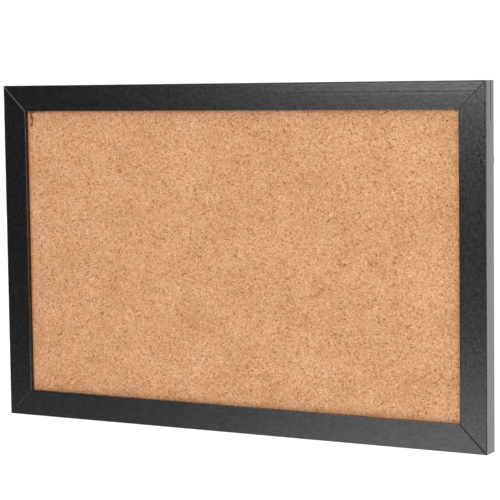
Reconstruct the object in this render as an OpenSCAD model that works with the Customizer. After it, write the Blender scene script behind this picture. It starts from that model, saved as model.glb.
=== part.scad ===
// A cork bulletin board in a mitred, rabbeted wooden frame, with two hinged D-ring hangers.
// The origin is on the wall plane, behind the middle of the board. X runs along the board,
// Y from its face towards the wall and Z up, so that the whole board lies at negative Y.
// Pieces are made in the frame of their own side or corner and then turned into place.

/* [Board] */
// Overall width of the frame
board_w = 432; // [300:1:900]
// Overall height of the frame
board_h = 279; // [240:1:600]
// Depth of the frame from its front face to its back
frame_depth = 16; // [15:0.5:22]
// Width of a rail seen from the front
rail_w = 21.5; // [20:0.5:40]
// Radius of the long outer edge of a rail
outer_arris_r = 0.5; // [0.3:0.1:2]
// Radius of the long inner edge of a rail
inner_arris_r = 0.25; // [0.2:0.05:1]

/* [Panel] */
// Thickness of the lip in front of the cork, which is how deep the cork is set back
lip_t = 4; // [2:0.5:5]
// How far the lip covers the edge of the panel
lip_cover = 6; // [4:0.5:6]
// Thickness of the cork sheet
cork_t = 2; // [1:0.5:3]
// Thickness of the soft fibreboard that the pins go into
core_t = 6; // [3:0.5:6]
// Thickness of the hardboard back
backing_t = 2.5; // [1.5:0.5:2.5]
// Play between the panel and the rabbet on each side
panel_play = 0.75; // [0.25:0.25:1.5]

/* [Joinery] */
// Length of one leg of a V nail
v_nail_leg = 5; // [3:0.5:6]
// Thickness of a V nail
v_nail_t = 0.6; // [0.4:0.1:0.8]
// How deep a V nail is driven in from the back
v_nail_depth = 10; // [6:0.5:10]
// Width of a retaining tab
tab_w = 6.4; // [4:0.2:8]
// Thickness of a retaining tab
tab_t = 0.45; // [0.3:0.05:0.6]
// Length of a tab inside the wood
tab_in = 5; // [3:0.5:5]
// Length of a tab over the hardboard
tab_out = 9; // [6:0.5:12]
// Number of tabs on each long rail
long_tabs = 4; // [2:1:8]
// Number of tabs on each short rail
short_tabs = 3; // [2:1:6]

/* [Hangers] */
// How far below the top edge the axis of each ring lies
hanger_drop = 54.5; // [45:0.5:80]
// Width of the strap
strap_w = 9; // [8:0.5:9]
// Length of the strap below the ring's axis
strap_len = 34; // [32:0.5:40]
// Thickness of the sheet that the strap is folded from
strap_t = 0.8; // [0.6:0.05:0.8]
// Radius of the ring's wire
wire_r = 1.25; // [1:0.05:1.25]
// Radial clearance of the wire in the strap's loop
ring_clearance = 0.06; // [0.03:0.01:0.09]
// Radius of the D ring's two tight bends, at the middle of the wire
bend_r = 1.9; // [1.8:0.1:2]
// Length of the D ring's straight sides
ring_side = 3; // [2:0.1:3]
// Angle from hanging straight down at which the ring rests on its strap
ring_rest_angle = 6.5; // [6.5:0.5:9]
// Radius of a hanger screw's shank
screw_r = 1.5; // [1.2:0.1:1.6]
// Length of a hanger screw below its head
screw_len = 12; // [8:0.5:14]
// Radius of a hanger screw's head
screw_head_r = 2.9; // [2.5:0.1:3.2]

/* [Bumpers] */
// Height of a bumper, which is the gap between the frame and the wall
bumper_h = 5; // [5:0.5:8]
// Radius of a bumper
bumper_r = 6; // [4:0.5:6.5]
// Radius of a bumper's edge
bumper_edge_r = 1.5; // [0.5:0.25:2]

/* [Hidden] */

$fn = 48;
through = 1;

// Turn about Y that brings a piece from the bottom side to each side
BOTTOM = 0;
LEFT = 90;
TOP = 180;
RIGHT = 270;

// Planes from the wall to the front face
rail_back_y = -bumper_h;
front_y = rail_back_y - frame_depth;
cork_y = front_y + lip_t;
core_y = cork_y + cork_t;
backing_y = core_y + core_t;
tab_y = backing_y + backing_t;

leg_w = rail_w - lip_cover;
panel_w = board_w - 2 * (leg_w + panel_play);
panel_h = board_h - 2 * (leg_w + panel_play);

// Two V nails stand on each mitre, at these shares of the leg's width from the outer edge
v_nail_places = [0.45, 0.85];
// The tabs of a rail are spread over this share of its length
tab_spread = 0.72;
tab_tip_share = 0.5;

// The ring is wider than the leg, so the hanger sits a little inwards of its middle
hanger_inset = 1;
hanger_x = board_w / 2 - leg_w / 2 - hanger_inset;
hanger_z = board_h / 2 - hanger_drop;
loop_r = wire_r + ring_clearance;
loop_outer_r = loop_r + strap_t;
// A hair's gap stays between the two layers of the folded strap
fold_gap = 0.05;
strap_plate_t = 2 * strap_t + fold_gap;
strap_hole_r = screw_r + 0.2;
strap_screws = [18, 28.5];
// The loop closes onto the plate over this length
fold_len = 4.2;

ring_side_gap = 0.5;
bar_half = strap_w / 2 + ring_side_gap;
bow_r = bar_half + bend_r;

screw_head_h = 1.7;
screw_tip_len = 2.5;
recess_w = 0.8;
recess_len = 3.2;
recess_depth = 0.9;

// Moves a piece made at z = 0, with z running inwards, to one side of the board
module on_side(side) {
    half = side == TOP || side == BOTTOM ? board_h / 2 : board_w / 2;
    rotate([0, side, 0]) translate([0, 0, -half]) children();
}

// Rounds the corner at the origin of a shape that lies in the first quadrant
module arris(r) {
    difference() {
        translate([-through, -through]) square(r + through);
        translate([r, r]) circle(r);
    }
}

// Section of a rail: first axis inwards from the outer edge, second back from the face
module rail_profile() {
    difference() {
        square([rail_w, frame_depth]);
        translate([leg_w, lip_t]) square([lip_cover + through, frame_depth]);
        arris(outer_arris_r);
        translate([rail_w, 0]) mirror([1, 0]) arris(inner_arris_r);
        translate([0, frame_depth]) mirror([0, 1]) arris(outer_arris_r / 2);
    }
}

module mitred_rail(length) {
    intersection() {
        translate([length / 2, front_y, 0])
            rotate([0, -90, 0])
                linear_extrude(length) rail_profile();
        translate([0, rail_back_y + through, 0])
            rotate([90, 0, 0])
                linear_extrude(frame_depth + 2 * through)
                    polygon([
                        [-length / 2, 0],
                        [length / 2, 0],
                        [length / 2 - rail_w, rail_w],
                        [rail_w - length / 2, rail_w]
                    ]);
    }
}

// Both V nails of the corner on the sides sx and sz
module v_nails(sx, sz) {
    for (place = v_nail_places * leg_w)
        translate([sx * (board_w / 2 - place), rail_back_y, sz * (board_h / 2 - place)])
            mirror([sx < 0 ? 1 : 0, 0, 0])
                mirror([0, 0, sz < 0 ? 1 : 0])
                    rotate([90, 0, 0])
                        linear_extrude(v_nail_depth) {
                            square([v_nail_leg, v_nail_t]);
                            square([v_nail_t, v_nail_leg]);
                        }
}

// The retaining tabs of one side
module tabs(side) {
    length = side == TOP || side == BOTTOM ? board_w : board_h;
    count = side == TOP || side == BOTTOM ? long_tabs : short_tabs;
    pitch = length * tab_spread / (count - 1);
    on_side(side)
        for (i = [0 : count - 1])
            translate([pitch * (i - (count - 1) / 2), tab_y + tab_t, leg_w])
                rotate([90, 0, 0])
                    linear_extrude(tab_t)
                        polygon([
                            [-tab_w / 2, 0],
                            [-tab_w / 2 * tab_tip_share, -tab_in],
                            [tab_w / 2 * tab_tip_share, -tab_in],
                            [tab_w / 2, 0],
                            [tab_w / 2, tab_out],
                            [-tab_w / 2, tab_out]
                        ]);
}

module panel_layer(y, thickness) {
    translate([-panel_w / 2, y, -panel_h / 2])
        cube([panel_w, thickness, panel_h]);
}

// Moves a piece made about a ring's axis, at the origin, to the left or right hanger
module on_hanger(sx) {
    translate([sx * hanger_x, rail_back_y + loop_outer_r, hanger_z]) children();
}

// Sections of the folded strap: first axis down from the ring's axis, second off the rail
module strap_fold_section() {
    circle(loop_outer_r);
    translate([0, -loop_outer_r]) square([strap_len, strap_t]);
}

module strap_upper_section() {
    upper = fold_gap + strap_t - loop_outer_r;
    polygon([
        [0, loop_outer_r],
        [fold_len, upper + strap_t],
        [strap_len, upper + strap_t],
        [strap_len, upper],
        [fold_len, upper],
        [0, 0]
    ]);
}

// Turns a section of the strap into a strip as wide as the strap
module strap_strip() {
    translate([-strap_w / 2, 0, 0]) rotate([0, 90, 0]) linear_extrude(strap_w) children();
}

module strap_outline() {
    end_r = strap_w / 2;
    translate([-end_r, -strap_len + end_r])
        square([strap_w, strap_len - end_r + loop_outer_r + through]);
    translate([0, -strap_len + end_r]) circle(end_r);
}

module hanger_strap(sx) {
    on_hanger(sx)
        difference() {
            intersection() {
                union() {
                    strap_strip() strap_fold_section();
                    strap_strip() strap_upper_section();
                }
                translate([0, loop_outer_r + through, 0])
                    rotate([90, 0, 0])
                        linear_extrude(2 * (loop_outer_r + through)) strap_outline();
            }
            rotate([0, 90, 0]) cylinder(h = strap_w + 2 * through, r = loop_r, center = true);
            for (drop = strap_screws)
                translate([0, 0, -drop])
                    rotate([90, 0, 0])
                        cylinder(h = 4 * loop_outer_r, r = strap_hole_r, center = true);
        }
}

// Part of the ring's wire, bent from one angle to another in the plane of X and Z
module wire_arc(r, from, to) {
    rotate([90, 0, 0])
        rotate([0, 0, from])
            rotate_extrude(angle = to - from)
                translate([r, 0]) circle(wire_r);
}

module d_ring() {
    rotate([0, 90, 0]) cylinder(h = 2 * bar_half, r = wire_r, center = true);
    translate([bar_half, 0, -bend_r]) wire_arc(bend_r, 0, 90);
    translate([-bar_half, 0, -bend_r]) wire_arc(bend_r, 90, 180);
    for (x = [-bow_r, bow_r])
        translate([x, 0, -bend_r - ring_side]) cylinder(h = ring_side, r = wire_r);
    translate([0, 0, -bend_r - ring_side]) wire_arc(bow_r, 180, 360);
}

module hanger_ring(sx) {
    on_hanger(sx) rotate([ring_rest_angle, 0, 0]) d_ring();
}

// Section of a screw: radius against distance from the underside of its head
module screw_section() {
    head_bulge = screw_head_r * 2;
    translate([0, -screw_len + screw_tip_len])
        square([screw_r, screw_len - screw_tip_len]);
    polygon([
        [0, -screw_len],
        [screw_r, -screw_len + screw_tip_len],
        [0, -screw_len + screw_tip_len]
    ]);
    intersection() {
        square([screw_head_r, screw_head_h]);
        translate([0, screw_head_h - head_bulge]) circle(head_bulge, $fn = 96);
    }
}

module screws(sx, with_recess) {
    on_hanger(sx)
        for (drop = strap_screws)
            translate([0, strap_plate_t - loop_outer_r, -drop])
                difference() {
                    rotate([-90, 0, 0]) rotate_extrude() screw_section();
                    if (with_recess)
                        for (turn = [45, 135])
                            rotate([0, turn, 0])
                                translate([-recess_len / 2, screw_head_h - recess_depth, -recess_w / 2])
                                    cube([recess_len, recess_depth + through, recess_w]);
                }
}

module bumper(sx, sz) {
    translate([sx * (board_w / 2 - leg_w / 2), rail_back_y, sz * (board_h / 2 - leg_w / 2)])
        rotate([-90, 0, 0])
            rotate_extrude() {
                square([bumper_r, bumper_h - bumper_edge_r]);
                square([bumper_r - bumper_edge_r, bumper_h]);
                translate([bumper_r - bumper_edge_r, bumper_h - bumper_edge_r])
                    intersection() {
                        circle(bumper_edge_r);
                        square(bumper_edge_r);
                    }
            }
}

// Corners at the two ends of each side, as signs of X and Z
function corners(side) =
    side == TOP ? [[-1, 1], [1, 1]]
    : side == BOTTOM ? [[-1, -1], [1, -1]]
    : side == LEFT ? [[-1, 1], [-1, -1]]
    : [[1, 1], [1, -1]];

// One rail of the frame, cut out for what is driven into it
module rail(side) {
    difference() {
        on_side(side)
            mitred_rail(side == TOP || side == BOTTOM ? board_w : board_h);
        for (c = corners(side)) v_nails(c[0], c[1]);
        tabs(side);
        if (side == LEFT) screws(-1, false);
        if (side == RIGHT) screws(1, false);
    }
}

module rail_top() color("#343436") rail(TOP);
module rail_bottom() color("#343436") rail(BOTTOM);
module rail_left() color("#343436") rail(LEFT);
module rail_right() color("#343436") rail(RIGHT);
module v_nails_top_left() color("#9a9ca0") v_nails(-1, 1);
module v_nails_top_right() color("#9a9ca0") v_nails(1, 1);
module v_nails_bottom_left() color("#9a9ca0") v_nails(-1, -1);
module v_nails_bottom_right() color("#9a9ca0") v_nails(1, -1);
module cork_sheet() color("#d7a277") panel_layer(cork_y, cork_t);
module softboard_core() color("#a98f6b") panel_layer(core_y, core_t);
module hardboard_back() color("#6b4a30") panel_layer(backing_y, backing_t);
module tabs_top() color("#8f9296") tabs(TOP);
module tabs_bottom() color("#8f9296") tabs(BOTTOM);
module tabs_left() color("#8f9296") tabs(LEFT);
module tabs_right() color("#8f9296") tabs(RIGHT);
module hanger_strap_left() color("#c0c2c6") hanger_strap(-1);
module hanger_strap_right() color("#c0c2c6") hanger_strap(1);
module hanger_ring_left() color("#cfd1d5") hanger_ring(-1);
module hanger_ring_right() color("#cfd1d5") hanger_ring(1);
module hanger_screws_left() color("#b4b6ba") screws(-1, true);
module hanger_screws_right() color("#b4b6ba") screws(1, true);
module bumper_top_left() color("#1c1c1e") bumper(-1, 1);
module bumper_top_right() color("#1c1c1e") bumper(1, 1);
module bumper_bottom_left() color("#1c1c1e") bumper(-1, -1);
module bumper_bottom_right() color("#1c1c1e") bumper(1, -1);

rail_top();
rail_bottom();
rail_left();
rail_right();
v_nails_top_left();
v_nails_top_right();
v_nails_bottom_left();
v_nails_bottom_right();
cork_sheet();
softboard_core();
hardboard_back();
tabs_top();
tabs_bottom();
tabs_left();
tabs_right();
hanger_strap_left();
hanger_strap_right();
hanger_ring_left();
hanger_ring_right();
hanger_screws_left();
hanger_screws_right();
bumper_top_left();
bumper_top_right();
bumper_bottom_left();
bumper_bottom_right();
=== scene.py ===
import math
import bpy
import numpy as np
from mathutils import Euler, Matrix, Vector


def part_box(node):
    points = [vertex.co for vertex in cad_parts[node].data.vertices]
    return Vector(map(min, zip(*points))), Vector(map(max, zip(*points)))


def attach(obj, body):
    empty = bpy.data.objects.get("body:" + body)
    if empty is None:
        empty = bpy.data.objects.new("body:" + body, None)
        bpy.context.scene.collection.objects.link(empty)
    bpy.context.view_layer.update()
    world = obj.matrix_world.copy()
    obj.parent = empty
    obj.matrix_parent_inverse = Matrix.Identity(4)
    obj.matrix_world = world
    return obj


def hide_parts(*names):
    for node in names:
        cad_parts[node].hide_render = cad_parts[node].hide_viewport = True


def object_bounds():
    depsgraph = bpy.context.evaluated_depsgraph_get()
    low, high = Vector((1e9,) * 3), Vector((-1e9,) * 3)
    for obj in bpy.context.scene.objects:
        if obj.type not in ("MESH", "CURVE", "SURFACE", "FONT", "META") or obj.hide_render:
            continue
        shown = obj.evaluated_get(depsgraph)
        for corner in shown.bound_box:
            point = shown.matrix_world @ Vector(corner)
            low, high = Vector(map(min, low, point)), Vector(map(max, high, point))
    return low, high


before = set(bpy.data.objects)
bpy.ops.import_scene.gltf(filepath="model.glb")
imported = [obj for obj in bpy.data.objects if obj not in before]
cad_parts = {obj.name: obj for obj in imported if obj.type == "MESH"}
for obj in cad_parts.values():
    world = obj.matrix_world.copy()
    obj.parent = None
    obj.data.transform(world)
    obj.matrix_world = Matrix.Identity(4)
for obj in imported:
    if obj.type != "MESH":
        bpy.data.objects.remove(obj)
cad_low, cad_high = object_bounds()

MM = 0.001
SHARP_ANGLE = math.radians(35)

# Sizes of the moulding's section, as in the CAD source
RAIL_W = 21.5 * MM
LEG_W = 15.5 * MM
LIP_T = 4 * MM
OUTER_ARRIS = 0.5 * MM
INNER_ARRIS = 0.25 * MM
BACK_ARRIS = 0.25 * MM

FRONT_Y = cad_low.y
BOARD_W = cad_high.x - cad_low.x
BOARD_H = cad_high.z - cad_low.z
RAIL_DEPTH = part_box("rail_top")[1].y - FRONT_Y


# ---------------------------------------------------------------- small helpers

def lattice(seed, size=256):
    return np.random.default_rng(seed).uniform(-1.0, 1.0, (size, size))


def value_noise(x, y, seed):
    """Smooth noise from -1 to 1 over the plane, one wave per unit."""
    table = lattice(seed)
    size = len(table)
    xi = np.floor(x).astype(int)
    yi = np.floor(y).astype(int)
    fx = x - xi
    fy = y - yi
    fx = fx * fx * (3 - 2 * fx)
    fy = fy * fy * (3 - 2 * fy)
    x0 = xi % size
    x1 = (xi + 1) % size
    y0 = yi % size
    y1 = (yi + 1) % size
    low = table[x0, y0] * (1 - fx) + table[x1, y0] * fx
    high = table[x0, y1] * (1 - fx) + table[x1, y1] * fx
    return low * (1 - fy) + high * fy


def fractal(x, y, seed, octaves=3):
    """Layers of value_noise, each half as wide and half as strong as the last."""
    total = np.zeros(np.broadcast(x, y).shape)
    for k in range(octaves):
        total = total + 0.5**k * value_noise(x * 2**k, y * 2**k, seed + k)
    return total


def smoothstep(x, low, high):
    t = np.clip((x - low) / (high - low), 0.0, 1.0)
    return t * t * (3 - 2 * t)


def bell(x, centre, width):
    """1 at the centre, fading to nothing over about two widths."""
    return np.exp(-(((x - centre) / width) ** 2))


def new_piece(name, vertices, faces, material, replaced):
    """A mesh on the board that stands for one CAD node."""
    mesh = bpy.data.meshes.new(name)
    mesh.from_pydata(vertices, [], faces)
    mesh.update()
    mesh.materials.append(material)
    mesh.polygons.foreach_set("use_smooth", [True] * len(mesh.polygons))
    mesh.set_sharp_from_angle(angle=SHARP_ANGLE)
    piece = bpy.data.objects.new(name, mesh)
    bpy.context.scene.collection.objects.link(piece)
    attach(piece, "board")
    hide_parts(replaced)
    return piece


def point_value(piece, name, values):
    """Stores a number at each vertex, for the material to read."""
    layer = piece.data.attributes.new(name, "FLOAT", "POINT")
    layer.data.foreach_set("value", np.asarray(values, np.float32).ravel())


# ---------------------------------------------------------------- materials

class Shader:
    """A Principled material and short ways to wire nodes into it."""

    def __init__(self, name, **sockets):
        self.material = bpy.data.materials.new(name)
        self.material.use_nodes = True
        self.tree = self.material.node_tree
        self.bsdf = self.tree.nodes["Principled BSDF"]
        for socket, value in sockets.items():
            self.bsdf.inputs[socket.replace("_", " ")].default_value = value
        self.coords = self.tree.nodes.new("ShaderNodeTexCoord").outputs["Object"]

    def wire(self, value, socket):
        if isinstance(value, bpy.types.NodeSocket):
            self.tree.links.new(value, socket)
        else:
            socket.default_value = value

    def node(self, kind, settings=None, **inputs):
        made = self.tree.nodes.new("ShaderNode" + kind)
        for key, value in (settings or {}).items():
            setattr(made, key, value)
        for key, value in inputs.items():
            self.wire(value, made.inputs[key.replace("_", " ")])
        return made

    def stretched(self, scale):
        """Coordinates in metres, scaled apart along the axes."""
        return self.node("Mapping", Vector=self.coords, Scale=scale).outputs["Vector"]

    def noise(self, size, detail=3.0, roughness=0.5, vector=None, distortion=0.0):
        """Noise whose waves are size metres long."""
        return self.node(
            "TexNoise", Vector=vector or self.coords, Scale=1 / size, Detail=detail,
            Roughness=roughness, Distortion=distortion,
        ).outputs["Fac"]

    def cells(self, size, feature="F1", output="Color", vector=None):
        """Cells about size metres across."""
        made = self.node("TexVoronoi", {"feature": feature}, Vector=vector or self.coords, Scale=1 / size)
        return made.outputs[output]

    def math(self, operation, a, b, c=None):
        made = self.node("Math", {"operation": operation})
        self.wire(a, made.inputs[0])
        self.wire(b, made.inputs[1])
        if c is not None:
            self.wire(c, made.inputs[2])
        return made.outputs[0]

    def spread(self, value, low, high, to_low=0.0, to_high=1.0):
        made = self.node("MapRange", {"interpolation_type": "SMOOTHSTEP"})
        self.wire(value, made.inputs["Value"])
        for key, number in zip(("From Min", "From Max", "To Min", "To Max"), (low, high, to_low, to_high)):
            self.wire(number, made.inputs[key])
        return made.outputs["Result"]

    def ramp(self, factor, stops):
        made = self.node("ValToRGB", Fac=factor)
        line = made.color_ramp
        while len(line.elements) < len(stops):
            line.elements.new(0.5)
        for element, (place, colour) in zip(line.elements, stops):
            element.position = place
            element.color = (*colour, 1)
        return made.outputs["Color"]

    def mix(self, factor, a, b):
        made = self.node("Mix", {"data_type": "RGBA"})
        self.wire(factor, made.inputs[0])
        self.wire(a if isinstance(a, bpy.types.NodeSocket) else (*a, 1), made.inputs[6])
        self.wire(b if isinstance(b, bpy.types.NodeSocket) else (*b, 1), made.inputs[7])
        return made.outputs[2]

    def bump(self, height, strength, distance, normal=None):
        made = self.node("Bump", Height=height, Strength=strength, Distance=distance)
        if normal is not None:
            self.wire(normal, made.inputs["Normal"])
        return made.outputs["Normal"]

    def attribute(self, name):
        return self.node("Attribute", {"attribute_name": name}).outputs["Fac"]

    def set(self, **sockets):
        for socket, value in sockets.items():
            self.wire(value, self.bsdf.inputs[socket.replace("_", " ")])
        return self.material


MOTTLE = (0.39, 0.61)


def black_paint(name, grain_scale, brush_scale, darks, lights, sheen):
    """Thin black paint over wood: the grain, brush marks and rubbed edges show through, the pale mitre
    edges are a painted highlight, and darkened spots in the knocks and along a groove are painted shade.

    darks and lights are how bright the paint is off and on the brush marks, and sheen holds how
    much each of them shines.
    """
    s = Shader(name, IOR=1.6)
    grain_coords = s.stretched(grain_scale)
    grain = s.noise(0.9 * MM, 3, 0.6, grain_coords, 0.3)
    pores = s.noise(0.5 * MM, 2, 0.5, grain_coords)
    mottle = s.noise(2.3 * MM, 3, 0.6, s.stretched(brush_scale))
    swell = s.noise(2.2 * MM, 3, 0.55, s.stretched((1.7, 1, 0.8)))
    wear_and_highlight = s.attribute("wear_and_highlight")
    base = s.mix(s.spread(mottle, *MOTTLE), (darks,) * 3, (lights,) * 3)
    base = s.mix(s.spread(pores, 0.62, 0.74), base, (0.001, 0.001, 0.001))
    # Paler paint on the edges: real rubbed paint on the arrises and nicks, and a painted highlight on the
    # pale mitre edges
    worn_and_highlit = s.math("MULTIPLY", wear_and_highlight, s.spread(s.noise(0.9 * MM, 3, 0.6), 0.3, 0.6))
    base = s.mix(worn_and_highlit, base, (0.16, 0.16, 0.16))
    base = s.mix(s.attribute("bare"), base, (0.075, 0.031, 0.015))
    film = s.math("MULTIPLY_ADD", grain, 0.3, s.math("MULTIPLY", mottle, 0.7))
    stops = [(place, (shine, 0.98 * shine, 1.01 * shine)) for place, shine in zip(MOTTLE, sheen)]
    tint = s.ramp(film, stops)
    # Darkened reflection: painted shade in the knocks and along the groove by the outer edge, and duller
    # paint on the rubbed outer arris
    tint = s.mix(s.attribute("dim"), tint, (0.04, 0.04, 0.04))
    rough = s.spread(swell, 0.25, 0.75, 0.14, 0.18)
    lines = s.bump(grain, 1.0, 0.006 * MM)
    return s.set(
        Base_Color=base,
        Specular_Tint=tint,
        Roughness=rough,
        Normal=s.bump(swell, 1.0, 0.026 * MM, lines),
    )


CORK_TONE = (215, 163, 117)
CORK_GAIN = 0.69


def cork_colour(shift, pink=0):
    """Linear colour of the cork, made lighter or darker by so many of 255 steps."""
    steps = [c + shift * k + p for c, k, p in zip(CORK_TONE, (1, 1.05, 1.2), (pink, -pink, -pink))]
    return tuple(CORK_GAIN * ((max(c, 8) / 255 + 0.055) / 1.055) ** 2.4 for c in steps)


def agglomerated_cork():
    s = Shader("cork_granules", Roughness=0.85, IOR=1.4)
    warp = s.node("TexNoise", Vector=s.coords, Scale=1 / (0.9 * MM), Detail=2.0).outputs["Color"]
    bent = s.node("VectorMath", {"operation": "MULTIPLY_ADD"})
    s.wire(warp, bent.inputs[0])
    bent.inputs[1].default_value = (0.8 * MM,) * 3
    s.wire(s.stretched((0.9, 1, 1.1)), bent.inputs[2])
    where = bent.outputs[0]
    big = s.node("SeparateColor", Color=s.cells(1.45 * MM, vector=where)).outputs[0]
    small = s.node("SeparateColor", Color=s.cells(0.75 * MM, vector=where)).outputs[1]
    patch = s.noise(26 * MM, 2, 0.5)
    tone = s.math("MULTIPLY_ADD", big, 0.27, 0.365)
    tone = s.math("ADD", tone, s.math("MULTIPLY_ADD", small, 0.40, -0.20))
    tone = s.math("ADD", tone, s.math("MULTIPLY_ADD", patch, 0.32, -0.16))
    stops = [(k / 8, cork_colour(-44 + 11 * k)) for k in range(9)]
    pinks = [(k / 8, cork_colour(-46 + 11 * k, 3)) for k in range(9)]
    hue = s.noise(11 * MM, 3, 0.6)
    base = s.mix(s.spread(hue, 0.35, 0.65), s.ramp(tone, stops), s.ramp(tone, pinks))
    seams = s.cells(1.45 * MM, "DISTANCE_TO_EDGE", "Distance", where)
    base = s.mix(s.spread(seams, 0.0, 0.07, 0.16, 0.0), base, cork_colour(-60))
    speck = s.node("SeparateColor", Color=s.cells(1.1 * MM, vector=where)).outputs[2]
    base = s.mix(s.spread(speck, 0.94, 0.95, 0, 0.62), base, cork_colour(-90))
    base = s.mix(s.spread(speck, 0.045, 0.035, 0, 0.5), base, cork_colour(34))
    # Painted shade: the cork darker and redder along the lips
    base = s.mix(s.attribute("lip_shade"), base, cork_colour(-110, 4))
    marks = s.spread(s.noise(0.9 * MM, 2, 0.6), 0.35, 0.5, 0.8, 1.0)
    marks = s.math("MULTIPLY", s.attribute("torn"), marks)
    base = s.mix(marks, base, (0.15, 0.040, 0.004))
    height = s.math("ADD", s.math("MULTIPLY", tone, 0.8), s.spread(seams, 0.0, 0.12))
    gloss = s.mix(marks, (1.0, 1.0, 1.0), (0.2, 0.1, 0.05))
    return s.set(Base_Color=base, Specular_Tint=gloss, Normal=s.bump(height, 0.5, 0.06 * MM))


def fibreboard():
    s = Shader("soft_fibreboard", Roughness=0.9)
    fibres = s.noise(1.5 * MM, 6, 0.7, s.stretched((1, 0.5, 1)), 1.5)
    tans = [(0.3, (0.24, 0.17, 0.10)), (0.55, (0.36, 0.27, 0.17)), (0.75, (0.48, 0.38, 0.25))]
    base = s.ramp(fibres, tans)
    return s.set(Base_Color=base, Normal=s.bump(fibres, 0.5, 0.3 * MM))


def hardboard():
    """The rough side of hardboard, with the mesh of the screen it was pressed on."""
    s = Shader("hardboard", Roughness=0.7)
    fibres = s.noise(2.5 * MM, 8, 0.7, None, 2.0)
    clouds = s.noise(30 * MM, 4, 0.5)
    browns = [(0.3, (0.085, 0.042, 0.020)), (0.5, (0.15, 0.078, 0.038)), (0.7, (0.22, 0.125, 0.066))]
    base = s.ramp(fibres, browns)
    base = s.mix(s.spread(clouds, 0.3, 0.7, 0, 0.4), base, (0.11, 0.056, 0.028))
    wires = [
        s.node(
            "TexWave", {"bands_direction": axis}, Vector=s.coords,
            Scale=1 / (6.3 * MM), Distortion=0.4, Detail=1.0,
        ).outputs["Fac"]
        for axis in "XZ"
    ]
    screen = s.math("MULTIPLY", *wires)
    # Painted shade: the screen imprint's hollows, low in the bump below, are painted darker
    base = s.mix(s.spread(screen, 0.1, 0.9, 0.35, 0.0), base, (0.05, 0.025, 0.012))
    height = s.math("ADD", s.math("MULTIPLY", screen, 0.7), s.math("MULTIPLY", fibres, 0.5))
    return s.set(Base_Color=base, Normal=s.bump(height, 0.6, 0.2 * MM))


def plated_metal(name, tone, dim, roughness, spangle):
    s = Shader(name, Metallic=1.0)
    clouds = s.noise(4 * MM, 5, 0.6)
    scratches = s.noise(0.25 * MM, 2, 0.5, s.stretched((1, 1, 0.08)))
    base = s.mix(s.spread(clouds, 0.35, 0.65, 0, 1), tone, dim)
    if spangle:
        flakes = s.node("SeparateColor", Color=s.cells(1.6 * MM)).outputs[0]
        base = s.mix(s.math("MULTIPLY", flakes, 0.4), base, dim)
    base = s.mix(s.spread(scratches, 0.66, 0.74, 0, 0.5), base, dim)
    rough = s.spread(clouds, 0.3, 0.7, roughness * 0.8, roughness * 1.3)
    return s.set(Base_Color=base, Roughness=rough, Normal=s.bump(scratches, 0.15, 0.03 * MM))


def rubber():
    s = Shader("bumper_rubber", IOR=1.5)
    stipple = s.noise(0.35 * MM, 3, 0.6)
    dust = s.noise(2 * MM, 4, 0.6)
    base = s.mix(s.spread(dust, 0.45, 0.75, 0, 0.7), (0.010, 0.010, 0.011), (0.028, 0.027, 0.026))
    rough = s.spread(dust, 0.3, 0.7, 0.5, 0.7)
    return s.set(Base_Color=base, Roughness=rough, Normal=s.bump(stipple, 0.4, 0.06 * MM))


PAINT_ALONG_X = black_paint(
    "black_paint_long_rails", (0.06, 1, 1), (0.4, 1, 1), 0.0020, 0.0056, (0.81, 0.95),
)
PAINT_ALONG_Z = black_paint(
    "black_paint_short_rails", (1, 1, 0.06), (1, 1, 0.9), 0.0014, 0.0062, (0.70, 0.93),
)
CORK = agglomerated_cork()
FIBREBOARD = fibreboard()
HARDBOARD = hardboard()
ZINC = plated_metal("zinc_plate", (0.40, 0.41, 0.42), (0.22, 0.23, 0.25), 0.42, True)
NICKEL = plated_metal("nickel_plate", (0.56, 0.55, 0.53), (0.36, 0.35, 0.34), 0.27, False)
RUBBER = rubber()

# ---------------------------------------------------------------- moulded rails

# Mesh steps over the face, along the rail, across a fine line, and in from each mitre
FACE_STEP = 0.75 * MM
LENGTH_STEP = 0.75 * MM
FINE = [d * MM for d in (-0.5, -0.25, 0, 0.25, 0.5)]
END_STEPS = [d * MM for d in (0, 0.12, 0.28, 0.5, 0.9, 1.5, 2.3, 3.3)]
# How far in the painted dark line along an outer edge lies, painted shade of a shallow groove, and how far
# back the crack in the side
EDGE_LINE = 1.15 * MM
CRACK = 9.6 * MM
# An open mitre closes between these depths; its edges are rubbed off and carry a pale painted highlight
# over these widths
MITRE_CLOSES = (0.8 * MM, 2.2 * MM)
MITRE_RUB = 0.45 * MM
MITRE_HIGHLIGHT = 0.35 * MM
# The most that the paint stands proud of the section
PROUD = 0.02 * MM


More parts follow.
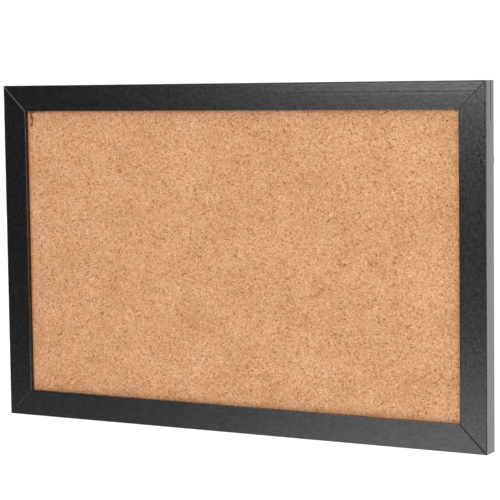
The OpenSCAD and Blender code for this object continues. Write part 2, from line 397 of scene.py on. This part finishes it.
def rail_section():
    """Points round the section as (inwards, back from the face) with outward normals."""
    points = []
    for k in range(6):
        turn = math.pi / 2 * k / 5
        across, back = math.cos(turn), math.sin(turn)
        points.append((OUTER_ARRIS * (1 - across), OUTER_ARRIS * (1 - back), -across, -back))
    face = list(np.arange(EDGE_LINE + 0.9 * MM, RAIL_W - INNER_ARRIS - 0.3 * MM, FACE_STEP))
    for place in [EDGE_LINE + d for d in FINE] + face:
        points.append((place, 0.0, 0.0, -1.0))
    for k in range(5):
        turn = math.pi / 2 * k / 4
        across, back = math.sin(turn), math.cos(turn)
        points.append((RAIL_W - INNER_ARRIS * (1 - across), INNER_ARRIS * (1 - back), across, -back))
    for k in range(1, 5):
        points.append((RAIL_W, INNER_ARRIS + (LIP_T - INNER_ARRIS) * k / 4, 1.0, 0.0))
    for k in range(1, 5):
        points.append((RAIL_W - (RAIL_W - LEG_W) * k / 4, LIP_T, 0.0, 1.0))
    wall = RAIL_DEPTH - LIP_T - BACK_ARRIS
    for k in range(1, 9):
        points.append((LEG_W, LIP_T + wall * k / 8, 1.0, 0.0))
    back_w = LEG_W - 2 * BACK_ARRIS
    for k in range(0, 17):
        points.append((LEG_W - BACK_ARRIS - back_w * k / 16, RAIL_DEPTH, 0.0, 1.0))
    side = list(np.arange(OUTER_ARRIS + 0.6 * MM, RAIL_DEPTH - BACK_ARRIS, 0.7 * MM))
    side = sorted([d for d in side if abs(d - CRACK) > 0.6 * MM] + [CRACK + 1.4 * d for d in FINE])
    for place in [RAIL_DEPTH - BACK_ARRIS] + side[::-1]:
        points.append((0.0, place, -1.0, 0.0))
    return np.array(points)


def stations(half):
    """Places along a rail as shares of its half length, close together near the mitres."""
    inner = half - END_STEPS[-1]
    count = 2 * round(inner / LENGTH_STEP)
    middle = np.linspace(-inner, inner, count + 1)
    ends = np.array([half - d for d in END_STEPS[:-1]])
    return np.concatenate([-ends, middle, ends[::-1]]) / half


def rail(side, half, to_world, material, seed, gaps, bevels, lights,
         edge_line=0.0, edge_dull=0.0, edge_wear=0.5, groove=None, crack=0.0, knocks=(), chips=()):
    """One rail, with its dents and wear in the mesh.

    gaps, bevels and lights hold a value for the low end and one for the high end: how far the
    mitre is open, how far its edge is rubbed off, and how strong the pale painted highlight on that edge
    is.
    """
    section = rail_section()
    inward = section[:, 0][None, :]
    depth = section[:, 1][None, :]
    across = section[:, 2][None, :]
    back = section[:, 3][None, :]
    share = stations(half)[:, None]
    reach = half - inward
    along = share * reach
    from_low = (1 + share) * half
    from_high = (1 - share) * half
    gap = gaps[0] * np.clip(-share, 0, 1) - gaps[1] * np.clip(share, 0, 1)
    along = along + gap * (1 - smoothstep(depth, *MITRE_CLOSES))

    painted = (back < 0.5) & (across < 0.5) | (depth < LIP_T)
    on_face = smoothstep(-back, 0.5, 0.95)
    on_side = smoothstep(-across, 0.5, 0.95)
    u = along / MM
    v = (inward - depth) / MM
    push = 0.0018 * fractal(u / 3.5, v / 3.5, seed, 3)
    push += 0.0015 * fractal(u / 90, v / 5, seed + 7, 2)
    push += on_side * 0.035 * fractal(u / 160, depth / MM / 2.6 + 0 * u, seed + 11, 2)
    outer_edge = smoothstep(-across - back, 1.05, 1.41)
    inner_edge = smoothstep(across - back, 1.05, 1.41)
    nicks = np.clip(value_noise(u / 1.3, 0 * u + 0.5, seed + 21) - 0.72, 0, 1) / 0.28
    nicks = nicks * edge_wear
    rub = 0.05 * (1 + fractal(u / 7, 0 * u, seed + 31, 2))
    push -= outer_edge * (rub + 0.12 * nicks) + inner_edge * 0.5 * rub
    s_mm = inward / MM
    line = bell(s_mm, EDGE_LINE / MM, 0.33) * on_face
    broken = np.clip(0.7 + fractal(u / 5, 0 * u, seed + 71, 2), 0, 1.3)
    line = edge_line * line * broken * smoothstep(u, -0.9 * half / MM, 0.6 * half / MM)
    push -= 0.04 * line
    # The dark line by the outer edge and the dark knocks are painted shade, for the shade in a shallow
    # groove and in the dents; edge_dull makes the rubbed arris duller
    dim = 0.8 * line + edge_dull * outer_edge
    for place, inset, radius, deep in knocks:
        away = np.hypot(u - place, s_mm - inset) / radius
        push -= on_face * 0.05 * deep * (1 - smoothstep(away, 0.3, 1.0))
        dim = dim + on_face * (1 - smoothstep(away, 0.6, 1.1))
    if groove:
        start, end, place, deep, tilt = groove
        fade = smoothstep(u, start, end)
        wander = 0.2 * value_noise(u / 60, 0 * u, seed + 41)
        x = s_mm - place - wander
        upper = np.clip(-x, 0, None)
        push -= on_face * fade * (deep * (bell(x, 0.0, 0.6) - 0.5 * bell(x, -1.5, 0.6)) + tilt * upper)
    if crack:
        run = np.clip(1 - from_high / (crack * MM), 0, 1)
        push -= on_side * 0.7 * bell(depth / MM, CRACK / MM, 0.3) * run
    bevel = bevels[0] * np.clip(1 - from_low / MITRE_RUB, 0, 1)
    bevel = bevel + bevels[1] * np.clip(1 - from_high / MITRE_RUB, 0, 1)
    push = push * MM
    push = push - bevel * MM * painted
    push = np.minimum(push, PROUD)
    inward = inward + across * push
    depth = depth + back * push
    places = to_world(along, inward, depth + 0 * along).reshape(-1, 3)

    rows, width = share.shape[0], section.shape[0]
    first = np.arange(rows - 1)[:, None] * width
    here = np.arange(width)[None, :]
    there = (here + 1) % width
    quads = np.stack([first + here, first + there, first + width + there, first + width + here], -1)
    faces = quads.reshape(-1, 4).tolist()
    faces.append(list(range(width))[::-1])
    faces.append(list(range((rows - 1) * width, rows * width)))

    rubbed = 0.7 + 0.9 * value_noise(s_mm / 1.9, 0 * s_mm, seed + 81)
    wear_and_highlight = (
        0.2 * outer_edge * np.clip(0.4 + fractal(u / 5, 0 * u, seed + 51, 3), 0, 1)
        + 0.5 * outer_edge * nicks
        + 0.45 * inner_edge * np.clip(0.5 + fractal(u / 9, 0 * u, seed + 61, 2), 0, 1)
        # The pale mitre edges are a painted highlight, standing for the rubbed edge catching light
        + on_face * rubbed * lights[0] * np.clip(1 - from_low / MITRE_HIGHLIGHT, 0, 1)
        + on_face * rubbed * lights[1] * np.clip(1 - from_high / MITRE_HIGHLIGHT, 0, 1)
    )
    bare = np.zeros(along.shape)
    for place, inset, radius in chips:
        bare = bare + on_face * (1 - smoothstep(np.hypot(u - place, s_mm - inset) / radius, 0.4, 1.1))
    piece = new_piece("moulding_" + side, places.tolist(), faces, material, "rail_" + side)
    point_value(piece, "wear_and_highlight", np.clip(wear_and_highlight + 0 * along, 0, 1))
    point_value(piece, "dim", np.clip(dim + 0 * along, 0, 1))
    point_value(piece, "bare", np.clip(0.8 * bare, 0, 1))
    return piece


def horizontal(sign):
    def place(along, inward, depth):
        z = sign * (BOARD_H / 2 - inward)
        return np.stack([along, FRONT_Y + depth, z + 0 * along], -1)
    return place


def vertical(sign):
    def place(along, inward, depth):
        x = sign * (BOARD_W / 2 - inward)
        return np.stack([x + 0 * along, FRONT_Y + depth, along], -1)
    return place


LONG, SHORT = BOARD_W / 2, BOARD_H / 2
# Small knocks near the right rail's outer edge: place along it, distance in and radius in mm,
# and depth in twentieths of a mm
# Each knock is a shallow dent, its dark spot painted shade
KNOCKS = [
    (122, 1.1, 0.6, 0.4), (116, 1.5, 0.5, 0.3), (108, 1.2, 0.8, 0.6), (101.5, 1.3, 0.5, 0.4),
    (97, 1.5, 0.9, 0.7), (93, 1.2, 0.6, 0.4), (84, 5.2, 0.9, 0.25), (79, 3.8, 0.7, 0.25),
    (61, 1.2, 0.5, 0.3), (22, 1.3, 0.6, 0.3), (-37, 1.2, 0.5, 0.3), (-90, 1.3, 0.6, 0.3),
]
# Where the ripple starts and where it is full, its distance in and its depth in mm, and its slope
TOP_RIPPLE = (-30, 120, 8.4, 0.015, 0.006)
# Chips in the top rail's paint above the stained corner of the cork: place, distance in and radius, in mm
CHIPS = [(-193.0, 17.6, 0.6), (-191.2, 17.0, 0.7), (-188.6, 17.8, 0.5)]
rail(
    "top", LONG, horizontal(1), PAINT_ALONG_X, seed=11,
    gaps=(0.02 * MM, 0.09 * MM), bevels=(0.10, 0.05), lights=(1.05, 0.0),
    edge_line=0.4, edge_dull=0.3, groove=TOP_RIPPLE, chips=CHIPS,
)
rail(
    "bottom", LONG, horizontal(-1), PAINT_ALONG_X, seed=23,
    gaps=(0.02 * MM, 0.32 * MM), bevels=(0.02, 0.03), lights=(0.5, 0.0),
)
rail(
    "left", SHORT, vertical(-1), PAINT_ALONG_Z, seed=37,
    gaps=(0.02 * MM, 0.02 * MM), bevels=(0.02, 0.10), lights=(0.5, 1.05),
)
rail(
    "right", SHORT, vertical(1), PAINT_ALONG_Z, seed=53,
    gaps=(0.32 * MM, 0.04 * MM), bevels=(0.03, 0.05), lights=(0.0, 0.0),
    edge_line=0.4, edge_dull=0.7, edge_wear=0.3, crack=42, knocks=KNOCKS,
)

# ---------------------------------------------------------------- cork face

def cellular(x, y, seed, size=256):
    """Nearest cell's random number and the gap between the nearest two points."""
    generator = np.random.default_rng(seed)
    jitter = generator.uniform(0, 1, (size, size, 2))
    tone = generator.uniform(0, 1, (size, size))
    xi = np.floor(x).astype(int)
    yi = np.floor(y).astype(int)
    nearest = np.full(x.shape, 9.0)
    second = np.full(x.shape, 9.0)
    value = np.zeros(x.shape)
    for dx in (-1, 0, 1):
        for dy in (-1, 0, 1):
            cx, cy = (xi + dx) % size, (yi + dy) % size
            px = xi + dx + jitter[cx, cy, 0]
            py = yi + dy + jitter[cx, cy, 1]
            far = np.hypot(px - x, py - y)
            closer = far < nearest
            second = np.where(closer, nearest, np.minimum(second, far))
            value = np.where(closer, tone[cx, cy], value)
            nearest = np.where(closer, far, nearest)
    return value, second - nearest


def sheet_grid(low, high, step):
    xs = np.linspace(low.x, high.x, round((high.x - low.x) / step) + 1)
    zs = np.linspace(low.z, high.z, round((high.z - low.z) / step) + 1)
    return np.meshgrid(xs, zs, indexing="ij")


def sheet_solid(name, x, z, relief_y, plain_y, material, node, front):
    """A closed sheet: relief_y over the grid on one side, plain_y on the other."""
    rows, width = x.shape
    relief = np.stack([x, relief_y, z], -1).reshape(-1, 3)
    index = np.arange(rows * width).reshape(rows, width)
    a, b = index[:-1, :-1], index[1:, :-1]
    c, d = index[1:, 1:], index[:-1, 1:]
    order = (a, b, c, d) if front else (a, d, c, b)
    faces = np.stack(order, -1).reshape(-1, 4).tolist()
    rim = np.concatenate([index[:, 0], index[-1, 1:], index[-2::-1, -1], index[0, -2:0:-1]])
    back = relief[rim].copy()
    back[:, 1] = plain_y
    start = rows * width
    count = len(rim)
    for k in range(count):
        n = (k + 1) % count
        side = [rim[n], rim[k], start + k, start + n]
        faces.append([int(i) for i in (side if front else side[::-1])])
    cap = list(range(start, start + count))
    faces.append(cap[::-1] if front else cap)
    places = np.concatenate([relief, back])
    return new_piece(name, places.tolist(), faces, material, node)


# Brown marks near the cork's top left corner: place from the lips, width, height in mm, strength
CORK_MARKS = [
    (4.2, 5.7, 1.1, 1.3, 2.8), (3.7, 11.3, 1.0, 1.3, 2.8), (3.7, 3.2, 0.8, 1.6, 1.4),
    (4.7, 8.5, 0.8, 1.5, 1.2), (2.2, 0.8, 1.4, 0.9, 1.4), (4.8, 0.6, 1.5, 1.0, 1.4),
    (8.2, 0.6, 2.5, 0.9, 0.9), (15.0, 0.5, 2.2, 0.9, 0.9), (22.5, 0.9, 1.4, 0.9, 0.9),
]
CORK_STEP = 1.05 * MM
# Painted shade: the darker, redder border where the cork meets the lips, for the shade under the lips:
# strength, and width in mm
SHADE_BAND = (0.20, 2.6)


def cork_face():
    low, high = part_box("cork_sheet")
    x, z = sheet_grid(low, high, CORK_STEP)
    u, v = x / MM, z / MM
    bend_u = u + 0.8 * value_noise(u / 2.2, v / 2.2, 71)
    bend_v = v + 0.8 * value_noise(u / 2.2 + 40, v / 2.2, 72)
    tone, seam = cellular(bend_u / 2.1, bend_v / 2.1, 73)
    sink = 0.10 * (1 - smoothstep(seam, 0.0, 0.25))
    sink = sink + 0.09 * tone + 0.05 * (1 + fractal(u / 30, v / 30, 74, 2)) * 0.5
    pits = smoothstep(value_noise(u / 1.9, v / 1.9, 75), 0.80, 0.95)
    sink = sink + 0.30 * pits
    y = low.y + np.clip(sink, 0.0, 0.6) * MM
    piece = sheet_solid("cork_face", x, z, y, high.y, CORK, "cork_sheet", True)
    lip = RAIL_W - (low.x + BOARD_W / 2)
    from_left, from_top = (x - low.x - lip) / MM, (high.z - lip - z) / MM
    torn = 0 * x
    for across, down, wide, tall, strength in CORK_MARKS:
        torn = torn + strength * bell(from_left, across, wide) * bell(from_top, down, tall)
    # The painted shade border is half as wide on the left
    from_side = np.minimum(2 * from_left, (high.x - lip - x) / MM)
    near = np.minimum(from_side, np.minimum(from_top, (z - low.z - lip) / MM))
    # Painted shade of the lips, strongest right against them
    lip_shade = SHADE_BAND[0] * bell(near, 0.0, SHADE_BAND[1])
    rim = np.zeros(len(piece.data.vertices) - lip_shade.size)
    point_value(piece, "lip_shade", np.concatenate([lip_shade.ravel(), rim]))
    point_value(piece, "torn", np.concatenate([np.clip(torn, 0, 1).ravel(), rim]))
    return piece


cork_face()

# ---------------------------------------------------------------- hardboard back

BACK_STEP = 1.4 * MM
SCREEN_PITCH = 2.8


def back_panel():
    low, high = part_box("hardboard_back")
    x, z = sheet_grid(low, high, BACK_STEP)
    u, v = x / MM, z / MM
    weave = 0.05 * np.abs(np.sin(math.pi * u / SCREEN_PITCH)) * np.abs(np.sin(math.pi * v / SCREEN_PITCH))
    sink = 0.06 + 0.03 * fractal(u / 40, v / 40, 81, 3) - weave
    edge = np.minimum(np.minimum(x - low.x, high.x - x), np.minimum(z - low.z, high.z - z)) / MM
    sink = sink + 0.25 * (1 - smoothstep(edge, 0.0, 1.6))
    y = high.y - np.clip(sink, 0.0, 0.5) * MM
    return sheet_solid("back_panel", x, z, y, low.y, HARDBOARD, "hardboard_back", False)


back_panel()

# ---------------------------------------------------------------- CAD pieces with better finishes

FINISHES = {
    "softboard_core": FIBREBOARD,
    "v_nails_": ZINC,
    "tabs_": ZINC,
    "hanger_strap_": NICKEL,
    "hanger_ring_": NICKEL,
    "hanger_screws_": ZINC,
    "bumper_": RUBBER,
    "rail_top": PAINT_ALONG_X,
    "rail_bottom": PAINT_ALONG_X,
    "rail_": PAINT_ALONG_Z,
    "cork_sheet": CORK,
    "hardboard_back": HARDBOARD,
}
for name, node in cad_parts.items():
    finish = next(m for start, m in FINISHES.items() if name.startswith(start))
    node.data.materials.clear()
    node.data.materials.append(finish)

# ---------------------------------------------------------------- floor, light and camera

FLOOR_DROP = 1.0
FLOOR_REACH = 14.0
floor_mesh = bpy.data.meshes.new("studio_floor")
floor_z = cad_low.z - FLOOR_DROP
floor_signs = ((-1, -1), (1, -1), (1, 1), (-1, 1))
floor_corners = [(x * FLOOR_REACH, y * FLOOR_REACH, floor_z) for x, y in floor_signs]
floor_mesh.from_pydata(floor_corners, [], [(0, 1, 2, 3)])
floor = bpy.data.objects.new("studio_floor", floor_mesh)
bpy.context.scene.collection.objects.link(floor)
floor_shader = Shader("pale_floor", Roughness=0.9, Emission_Color=(1, 1, 1, 1), Emission_Strength=0.12)
floor_tone = floor_shader.noise(0.2, 3)
floor_mesh.materials.append(
    floor_shader.set(Base_Color=floor_shader.mix(floor_tone, (0.93, 0.93, 0.93), (0.95, 0.95, 0.95)))
)
floor.visible_glossy = False

scene = bpy.context.scene
world = bpy.data.worlds.new("studio")
scene.world = world
world.use_nodes = True
sky = world.node_tree
sky.nodes.clear()


def sky_node(kind, settings=None, **inputs):
    made = sky.nodes.new("ShaderNode" + kind)
    for key, value in (settings or {}).items():
        setattr(made, key, value)
    for key, value in inputs.items():
        numbered = key[0] == "i" and key[1:].isdigit()
        socket = made.inputs[int(key[1:]) if numbered else key.replace("_", " ")]
        if isinstance(value, bpy.types.NodeSocket):
            sky.links.new(value, socket)
        else:
            socket.default_value = value
    return made


def sky_math(operation, *values):
    inputs = {"i%d" % k: value for k, value in enumerate(values)}
    return sky_node("Math", {"operation": operation}, **inputs).outputs[0]


direction = sky_node("TexCoord").outputs["Generated"]
axes = sky_node("SeparateXYZ", Vector=direction)
frontward = sky_math("MAXIMUM", sky_math("MULTIPLY", axes.outputs["Y"], -1.0), 0.001)
sideways = sky_math("DIVIDE", axes.outputs["X"], frontward)
upwards = axes.outputs["Z"]


def towards(azimuth, elevation):
    """A direction seen from the board: azimuth 0 straight out from its face, 90 to its right."""
    a, e = math.radians(azimuth), math.radians(elevation)
    return (math.sin(a) * math.cos(e), -math.cos(a) * math.cos(e), math.sin(e))


def glow(azimuth, elevation, core, edge, strength):
    """A soft round patch of sky, from full strength inside core degrees to nothing at edge degrees."""
    dot = sky_node("VectorMath", {"operation": "DOT_PRODUCT"}, i0=direction, i1=towards(azimuth, elevation))
    part = sky_node(
        "MapRange", {"interpolation_type": "SMOOTHSTEP"}, Value=dot.outputs["Value"],
        From_Min=math.cos(math.radians(edge)), From_Max=math.cos(math.radians(core)),
        To_Min=0.0, To_Max=strength,
    )
    return part.outputs["Result"]


def band(value, low, high, soft, strength=1.0):
    """strength where value is between low and high, with soft edges."""
    rise = sky_node("MapRange", {"interpolation_type": "SMOOTHSTEP"}, Value=value,
                    From_Min=low - soft, From_Max=low + soft, To_Min=0.0, To_Max=strength)
    fall = sky_node("MapRange", {"interpolation_type": "SMOOTHSTEP"}, Value=value,
                    From_Min=high - soft, From_Max=high + soft, To_Min=1.0, To_Max=0.0)
    return sky_math("MULTIPLY", rise.outputs["Result"], fall.outputs["Result"])


def box_light(left, right, bottom, top, soft_across, soft_up, strength):
    """A softbox in front of the board, between two azimuths and two elevations in degrees."""
    left, right, soft_across = [math.tan(math.radians(d)) for d in (left, right, soft_across)]
    bottom, top, soft_up = [math.sin(math.radians(d)) for d in (bottom, top, soft_up)]
    across = band(sideways, left, right, soft_across, strength)
    up = band(upwards, bottom, top, soft_up)
    ahead = sky_math("GREATER_THAN", frontward, 0.002)
    return sky_math("MULTIPLY", sky_math("MULTIPLY", across, up), ahead)


# Even light from all round, and how much more of it comes from the right
AMBIENT = 1.1
SIDE_TILT = 0.35
# The dark room in front of the board, then the soft lights in it
BOXES = [
    (-80, 16, -50, 42, 4, 4, -0.78),
    (-26.8, 4, 0.2, 20, 6.5, 2.0, 6.1),
    (-27.3, 4, -30, -9.8, 6.3, 2.5, 3.3),
    (-70, -26, -34, -9.5, 1.5, 1.5, 0.5),
]
BACK_GLOW = (158, -18, 8, 40, 0.34)
DARKEST = 0.02
BACKDROP = 1.05
total = sky_math("MULTIPLY_ADD", axes.outputs["X"], SIDE_TILT, AMBIENT)
for patch in BOXES:
    total = sky_math("ADD", total, box_light(*patch))
total = sky_math("ADD", total, glow(*BACK_GLOW))
total = sky_math("MAXIMUM", total, DARKEST)
lit = sky_node("Background", Color=(1, 1, 1, 1), Strength=total)
seen = sky_node("Background", Color=(1, 1, 1, 1), Strength=BACKDROP)
eye = sky_node("LightPath").outputs["Is Camera Ray"]
both_skies = sky_node("MixShader", i0=eye, i1=lit.outputs[0], i2=seen.outputs[0])
sky_node("OutputWorld", Surface=both_skies.outputs[0])

SIDE_BOX_SIZE = (0.8, 0.9)
SIDE_BOX_WATTS = 5
SIDE_BOX_AWAY = 1.25
side_box = bpy.data.lights.new("side_softbox", "AREA")
side_box.shape = "RECTANGLE"
side_box.size, side_box.size_y = SIDE_BOX_SIZE
side_box.energy = SIDE_BOX_WATTS
side_light = bpy.data.objects.new("side_softbox", side_box)
scene.collection.objects.link(side_light)
side_light.location = SIDE_BOX_AWAY * Vector(towards(38, 14))
side_light.rotation_euler = side_light.location.to_track_quat("Z", "Y").to_euler()
side_light.visible_camera = False

# Metres from the middle of the board's front face, radians, and the focal length in sensor widths
CAMERA_PLACE = (0.7074, -1.2857, 0.1433)
CAMERA_YAW, CAMERA_PITCH, CAMERA_ROLL = 0.4921, 0.0790, -0.0135
FOCAL_SHARE = 3.7125
SENSOR_WIDTH = 36
CAMERA_SHIFT = -0.05
camera_data = bpy.data.cameras.new("camera")
camera = bpy.data.objects.new("camera", camera_data)
scene.collection.objects.link(camera)
camera_data.sensor_width = SENSOR_WIDTH
camera_data.lens = SENSOR_WIDTH * FOCAL_SHARE
camera_data.shift_y = CAMERA_SHIFT
camera.location = Vector(CAMERA_PLACE) + Vector((0, FRONT_Y, 0))
look = Euler((math.pi / 2 - CAMERA_PITCH, 0, CAMERA_YAW)).to_matrix()
camera.rotation_euler = (look @ Matrix.Rotation(CAMERA_ROLL, 3, "Z")).to_euler()
camera_data.clip_end = 100
scene.camera = camera
scene.view_settings.view_transform = "Standard"
